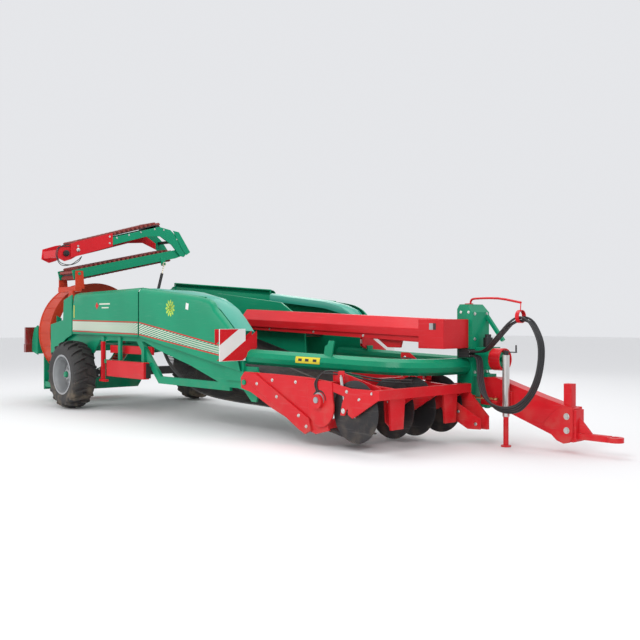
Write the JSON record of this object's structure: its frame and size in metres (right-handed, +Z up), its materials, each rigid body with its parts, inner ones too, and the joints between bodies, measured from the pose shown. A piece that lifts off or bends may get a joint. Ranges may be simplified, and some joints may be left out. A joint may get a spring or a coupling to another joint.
{
  "type": "trailed potato harvester",
  "caption": "Trailed potato harvester with digging unit, webs, ring elevator, folded discharge elevator, side covers, offset drawbar and jack.",
  "frame": {"origin": "centre of the bounding box on the ground", "axes": "+X forwards to the hitch eye, +Y to the machine's left, +Z up"},
  "size_m": [11.15, 2.95, 3.4],
  "materials": {
    "black_rubber": "matte",
    "board_white": "satin",
    "brown_rubber": "matte",
    "chrome_rod": "polished",
    "dark_steel": "worn",
    "emerald_paint": "gloss",
    "lamp_red": "gloss",
    "orange_red_paint": "satin",
    "red_paint": "gloss",
    "silver_paint": "satin",
    "tyre_rubber": "matte"
  },
  "bodies": {
    "chassis": {"axle_beam": "dark_steel", "chassis_frame": "emerald_paint", "elevator_base": "orange_red_paint", "front_tower": "emerald_paint", "gearbox_guard": "red_paint", "hose_1": "black_rubber", "hose_2": "black_rubber", "hose_3": "black_rubber", "hose_4": "black_rubber", "hose_arm": "red_paint", "hose_couplings": "silver_paint", "hydraulic_motor": "silver_paint", "left_side_tube": "emerald_paint", "main_web": "dark_steel", "picking_table_belt": "black_rubber", "pto_gearbox": "emerald_paint", "rear_lamp_left": "lamp_red", "rear_lamp_right": "lamp_red", "rear_light_bar": "emerald_paint", "rear_panel_left": "emerald_paint", "rear_panel_right": "emerald_paint", "rear_web": "dark_steel", "right_side_tube": "emerald_paint", "ring_cradle": "emerald_paint", "tool_box": "red_paint", "top_beam": "red_paint", "warning_board_left": "board_white", "warning_board_right": "board_white"},
    "cover_left_front": {"cover_left_front": "emerald_paint"},
    "cover_left_rear": {"cover_left_rear": "emerald_paint"},
    "cover_right_front": {"cover_right_front": "emerald_paint"},
    "cover_right_rear": {"cover_right_rear": "emerald_paint"},
    "digger": {"digger_frame": "red_paint", "share_blades": "dark_steel"},
    "disc_inner_left": {"disc_inner_left": "dark_steel"},
    "disc_inner_right": {"disc_inner_right": "dark_steel"},
    "disc_outer_left": {"disc_outer_left": "dark_steel"},
    "disc_outer_right": {"disc_outer_right": "dark_steel"},
    "drawbar": {"drawbar": "red_paint", "hitch_eye": "red_paint", "jack_crank": "dark_steel", "jack_tube": "silver_paint"},
    "elevator_upper": {"elevator_head": "red_paint", "elevator_upper": "emerald_paint", "elevator_upper_belt": "brown_rubber"},
    "elevator_lower": {"elevator_lower": "emerald_paint", "elevator_lower_belt": "brown_rubber"},
    "jack_leg": {"jack_leg": "red_paint"},
    "lift_barrel": {"lift_barrel": "dark_steel"},
    "lift_rod": {"lift_rod": "chrome_rod"},
    "wheel_left": {"rim_left": "silver_paint", "tyre_left": "tyre_rubber"},
    "wheel_right": {"rim_right": "silver_paint", "tyre_right": "tyre_rubber"},
    "ring": {"ring_elevator": "orange_red_paint"},
    "steering_barrel": {"steering_barrel": "red_paint"},
    "steering_rod": {"steering_rod": "chrome_rod"}
  },
  "joints": [
    {"name": "wheel_right", "type": "hinge", "parent": "chassis", "child": "wheel_right", "pos_m": [-3.425, -1.27, 0.585], "axis": [0, 1, 0], "continuous": true},
    {"name": "wheel_left", "type": "hinge", "parent": "chassis", "child": "wheel_left", "pos_m": [-3.425, 1.27, 0.585], "axis": [0, 1, 0], "continuous": true},
    {"name": "ring", "type": "hinge", "parent": "chassis", "child": "ring", "pos_m": [-4.935, -0.15, 1.28], "axis": [1, 0, 0], "continuous": true},
    {"name": "cover_right_rear", "type": "hinge", "parent": "chassis", "child": "cover_right_rear", "pos_m": [-3.705, -1, 1.985], "axis": [-0.9999, 0, -0.0159], "range_deg": [0, 70]},
    {"name": "cover_right_front", "type": "hinge", "parent": "chassis", "child": "cover_right_front", "pos_m": [-1.465, -1, 2.015], "axis": [-0.9946, 0, 0.1036], "range_deg": [0, 70]},
    {"name": "cover_left_rear", "type": "hinge", "parent": "chassis", "child": "cover_left_rear", "pos_m": [-3.725, 1, 2.23], "axis": [0.9975, 0, -0.071], "range_deg": [0, 70]},
    {"name": "cover_left_front", "type": "hinge", "parent": "chassis", "child": "cover_left_front", "pos_m": [-0.695, 1, 1.95], "axis": [0.995, 0, -0.1002], "range_deg": [0, 70]},
    {"name": "elevator_lift", "type": "hinge", "parent": "chassis", "child": "elevator_lower", "pos_m": [-4.145, -0.95, 2.35], "axis": [1, 0, 0], "range_deg": [0, 20]},
    {"name": "elevator_fold", "type": "hinge", "parent": "elevator_lower", "child": "elevator_upper", "pos_m": [-4.145, 1.22, 2.84], "axis": [1, 0, 0], "range_deg": [-165, 0]},
    {"name": "lift_barrel", "type": "hinge", "parent": "chassis", "child": "lift_barrel", "pos_m": [-3.795, 0.5, 1.5], "axis": [1, 0, 0], "range_deg": [-1, 14]},
    {"name": "lift_rod", "type": "slide", "parent": "lift_barrel", "child": "lift_rod", "axis": [0, 0.2631, 0.9648], "range_m": [-0.01, 0.58]},
    {"name": "digger", "type": "hinge", "parent": "chassis", "child": "digger", "pos_m": [1.295, -0.305, 0.7], "axis": [0, 1, 0], "range_deg": [0, 10]},
    {"name": "disc_outer_right", "type": "hinge", "parent": "digger", "child": "disc_outer_right", "pos_m": [3.325, -1.09, 0.47], "axis": [0, 1, 0], "continuous": true},
    {"name": "disc_inner_right", "type": "hinge", "parent": "digger", "child": "disc_inner_right", "pos_m": [3.325, -0.49, 0.47], "axis": [0, 1, 0], "continuous": true},
    {"name": "disc_inner_left", "type": "hinge", "parent": "digger", "child": "disc_inner_left", "pos_m": [3.325, -0.1, 0.47], "axis": [0, 1, 0], "continuous": true},
    {"name": "disc_outer_left", "type": "hinge", "parent": "digger", "child": "disc_outer_left", "pos_m": [3.325, 0.4, 0.47], "axis": [0, 1, 0], "continuous": true},
    {"name": "steer", "type": "hinge", "parent": "chassis", "child": "drawbar", "pos_m": [3.775, 0.79, 0.64], "axis": [0, 0, 1], "range_deg": [-12, 19]},
    {"name": "jack", "type": "slide", "parent": "drawbar", "child": "jack_leg", "axis": [0, 0, 1], "range_m": [0, 0.33]},
    {"name": "steering_barrel", "type": "hinge", "parent": "chassis", "child": "steering_barrel", "pos_m": [3.295, 0.585, 0.56], "axis": [0, 0, 1], "range_deg": [-15, 25]},
    {"name": "steering_rod", "type": "slide", "parent": "steering_barrel", "child": "steering_rod", "axis": [0.9989, 0.0479, 0], "range_m": [-0.08, 0.12]}
  ],
  "couplings": [
    {"joint": "lift_barrel", "follows": "elevator_lift", "ratio": 0.5843},
    {"joint": "lift_rod", "follows": "elevator_lift", "m_per_rad": 1.5807},
    {"joint": "steering_barrel", "follows": "steer", "ratio": 0.337},
    {"joint": "steering_rod", "follows": "steer", "m_per_rad": 0.1658}
  ]
}
